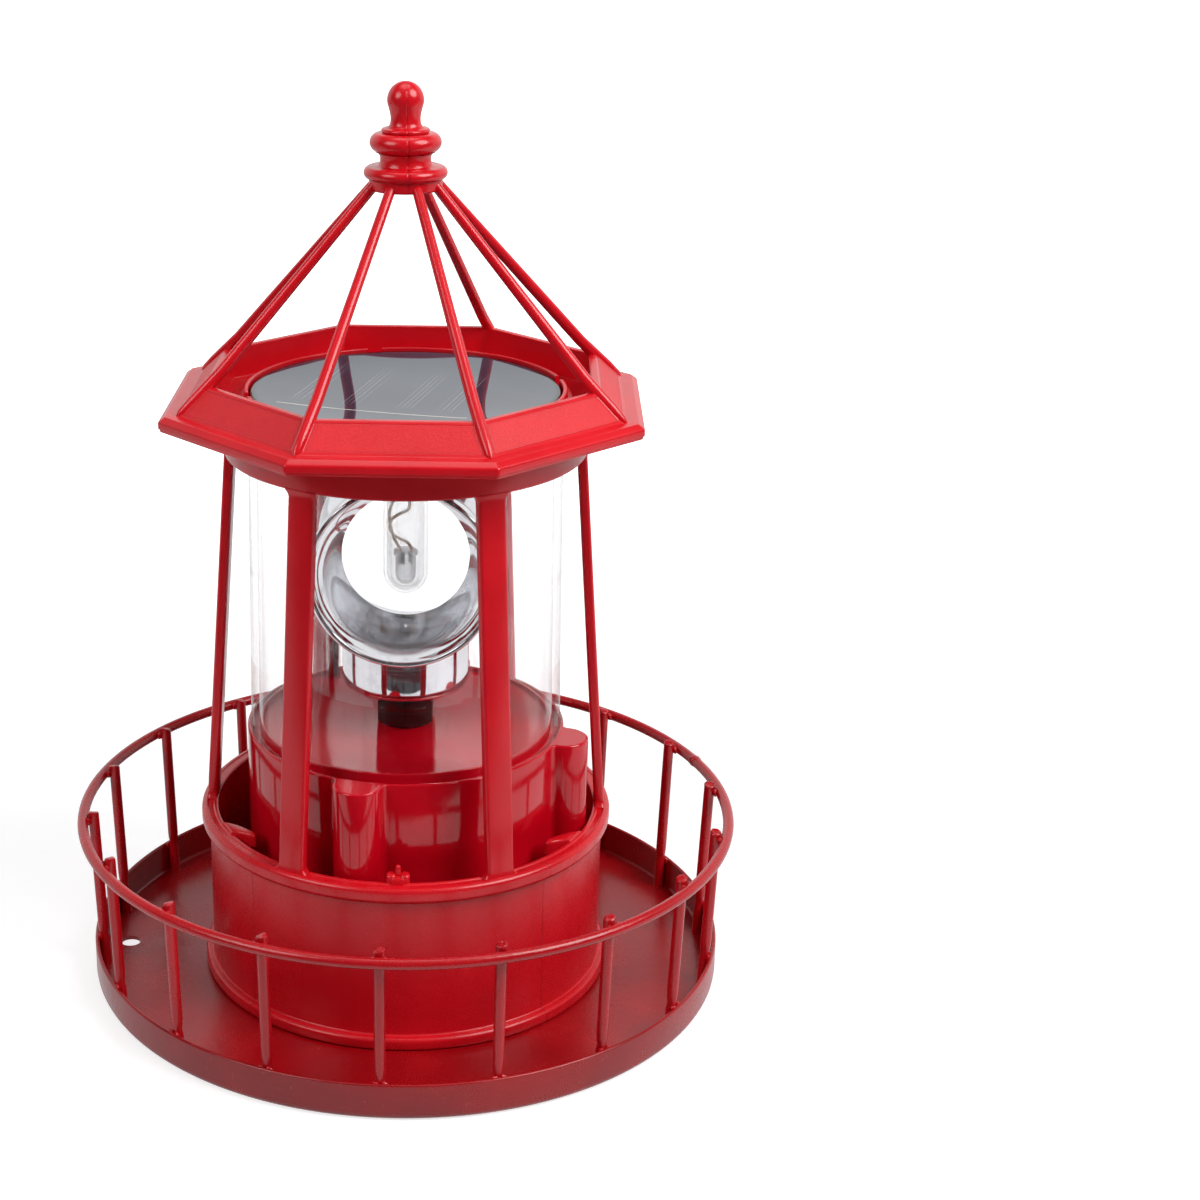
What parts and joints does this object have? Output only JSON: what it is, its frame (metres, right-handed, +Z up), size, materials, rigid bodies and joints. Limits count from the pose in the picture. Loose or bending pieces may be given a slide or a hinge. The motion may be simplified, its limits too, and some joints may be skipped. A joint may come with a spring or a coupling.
{
  "type": "garden lighthouse lantern",
  "caption": "Solar garden lighthouse lantern: wire-railed tray, red cage and roof, clear cylinder with a turning chrome reflector.",
  "frame": {"origin": "centre of the tray's underside, on the surface that the lantern stands on", "axes": "+Z up through the finial, -Y towards the viewer of the picture, +X to that viewer's right"},
  "size_m": [0.165, 0.165, 0.2221],
  "materials": {
    "red_coating": "powder coat with a fine orange peel",
    "red_plastic": "satin moulded plastic, finely textured on the roof",
    "base_plastic": "glossy moulded plastic",
    "black_plastic": "moulded, slightly satin",
    "clear_plastic": "clear moulded plastic",
    "clear_lens": "clear epoxy",
    "solar_panel": "glossy clear resin over dark cells",
    "chrome": "vacuum-plated mirror",
    "steel": "zinc plated",
    "brass": "machined",
    "lead_wire": "tinned copper, warm in the light",
    "gear_plastic": "natural moulded nylon",
    "circuit_board": "solder mask",
    "battery_sleeve": "shrink sleeve",
    "wire_cover": "soft wire cover, one red and one black"
  },
  "bodies": {
    "lantern": {"gallery_tray": "red_coating", "railing_ring": "red_coating", "balusters": "red_coating", "drum": "red_plastic", "cage_posts": "red_plastic", "collar": "red_plastic", "roof_shell": "red_plastic", "roof_rods": "red_plastic", "finial": "red_plastic", "tray_screws": "steel", "lamp_base": "base_plastic", "base_cover": "black_plastic", "cover_screws": "steel", "glass_cylinder": "clear_plastic", "head_cap": "black_plastic", "solar_panel": "solar_panel", "led_tube": "clear_plastic", "led_sleeve": "black_plastic", "led_diode": "clear_lens", "led_leads": "lead_wire", "wire_conduit": "clear_plastic", "conduit_wires": "wire_cover", "shaft_bush": "black_plastic", "lock_nut": "black_plastic", "idler_pin": "steel", "motor": "steel", "motor_wires": "wire_cover", "gear_plate": "gear_plastic", "plate_screws": "steel", "circuit_board": "circuit_board", "board_screws": "steel", "battery_cell": "battery_sleeve", "battery_contacts": "steel", "battery_wires": "wire_cover", "battery_door": "black_plastic", "door_screw": "steel", "switch_body": "steel"},
    "rotor": {"reflector": "chrome", "drive_shaft": "black_plastic", "output_gear": "gear_plastic"},
    "idler": {"idler_gear": "gear_plastic"},
    "pinion": {"motor_pinion": "brass"},
    "power_knob": {"switch_slider": "black_plastic"}
  },
  "joints": [
    {"name": "reflector_spin", "type": "hinge", "parent": "lantern", "child": "rotor", "pos_m": [0, 0, 0.09], "axis": [0, 0, 1], "continuous": true},
    {"name": "idler_spin", "type": "hinge", "parent": "lantern", "child": "idler", "pos_m": [0, 0.01506, 0.055], "axis": [0, 0, 1], "continuous": true},
    {"name": "pinion_spin", "type": "hinge", "parent": "lantern", "child": "pinion", "pos_m": [0.01206, 0.01506, 0.05], "axis": [0, 0, 1], "continuous": true},
    {"name": "power_slide", "type": "slide", "parent": "lantern", "child": "power_knob", "axis": [1, 0, 0], "range_m": [0, 0.003]}
  ],
  "couplings": [
    {"joint": "idler_spin", "follows": "reflector_spin", "ratio": -4},
    {"joint": "pinion_spin", "follows": "reflector_spin", "ratio": 12}
  ]
}
